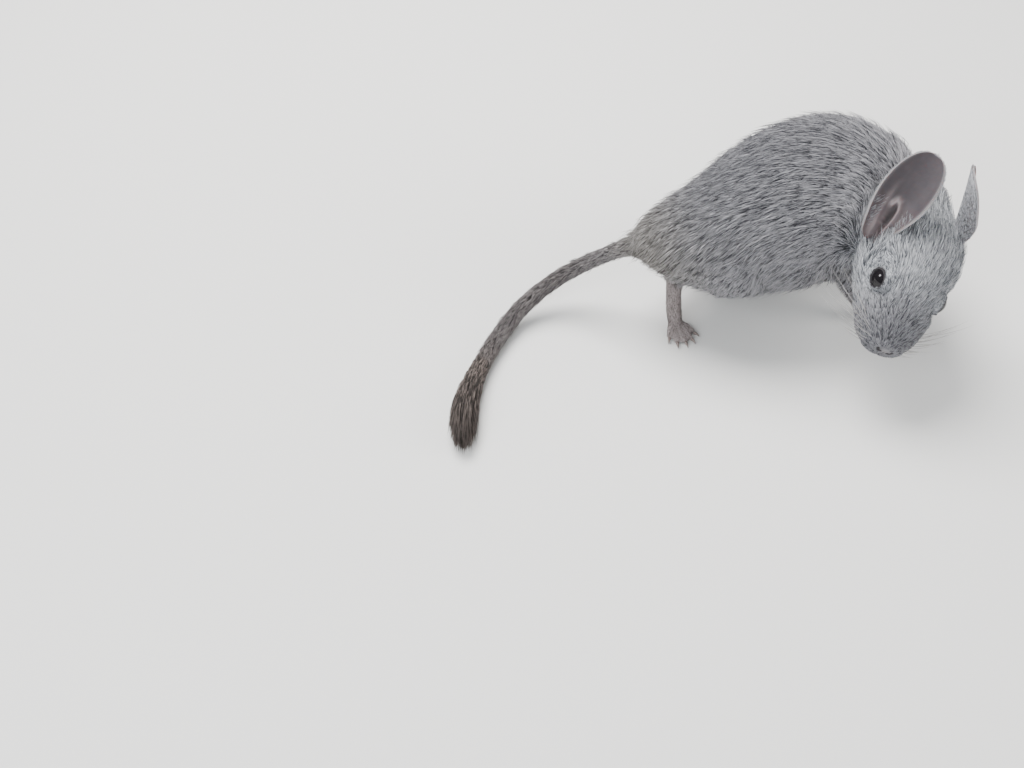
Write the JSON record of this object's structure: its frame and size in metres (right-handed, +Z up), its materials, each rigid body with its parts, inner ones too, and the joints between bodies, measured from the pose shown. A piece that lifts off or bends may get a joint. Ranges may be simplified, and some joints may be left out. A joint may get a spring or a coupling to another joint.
{
  "type": "degu figure",
  "caption": "Life-size still model of a young grey degu, standing with arched back, head lowered and turned over its right shoulder, tail curved on the floor.",
  "frame": {"origin": "on the floor, under the middle of the model's bounding box", "axes": "+X forward along the trunk, +Y to the animal's left, +Z up from the floor"},
  "size_m": [0.1518, 0.0768, 0.0657],
  "materials": {
    "coat": "soft short fur, pale blue-grey with dark ticking",
    "face_coat": "very short fur, frosty pale grey",
    "ear_skin": "thin bare skin, grey-mauve, satin",
    "foot_skin": "pinkish-grey skin under fine pale hair",
    "tail_coat": "short stiff grey-brown hair",
    "tail_brush_hair": "longer dark grey-brown hair",
    "eye": "wet glossy black",
    "claw": "smooth grey-brown horn"
  },
  "bodies": {
    "root": {"torso": "coat", "neck": "coat", "head": "face_coat", "ear_right": "ear_skin", "ear_left": "ear_skin", "eye_right": "eye", "eye_left": "eye", "tail_base": "tail_coat", "tail_middle": "tail_coat", "tail_brush": "tail_brush_hair", "foreleg_right": "coat", "foreleg_left": "coat", "hindleg_right": "coat", "hindleg_left": "coat", "forepaw_right": "foot_skin", "forepaw_left": "foot_skin", "hindfoot_right": "foot_skin", "hindfoot_left": "foot_skin", "claw_forepaw_right_1": "claw", "claw_forepaw_right_2": "claw", "claw_forepaw_right_3": "claw", "claw_forepaw_right_4": "claw", "claw_forepaw_left_1": "claw", "claw_forepaw_left_2": "claw", "claw_forepaw_left_3": "claw", "claw_forepaw_left_4": "claw", "claw_hindfoot_right_1": "claw", "claw_hindfoot_right_2": "claw", "claw_hindfoot_right_3": "claw", "claw_hindfoot_right_4": "claw", "claw_hindfoot_right_5": "claw", "claw_hindfoot_left_1": "claw", "claw_hindfoot_left_2": "claw", "claw_hindfoot_left_3": "claw", "claw_hindfoot_left_4": "claw", "claw_hindfoot_left_5": "claw"}
  },
  "joints": []
}
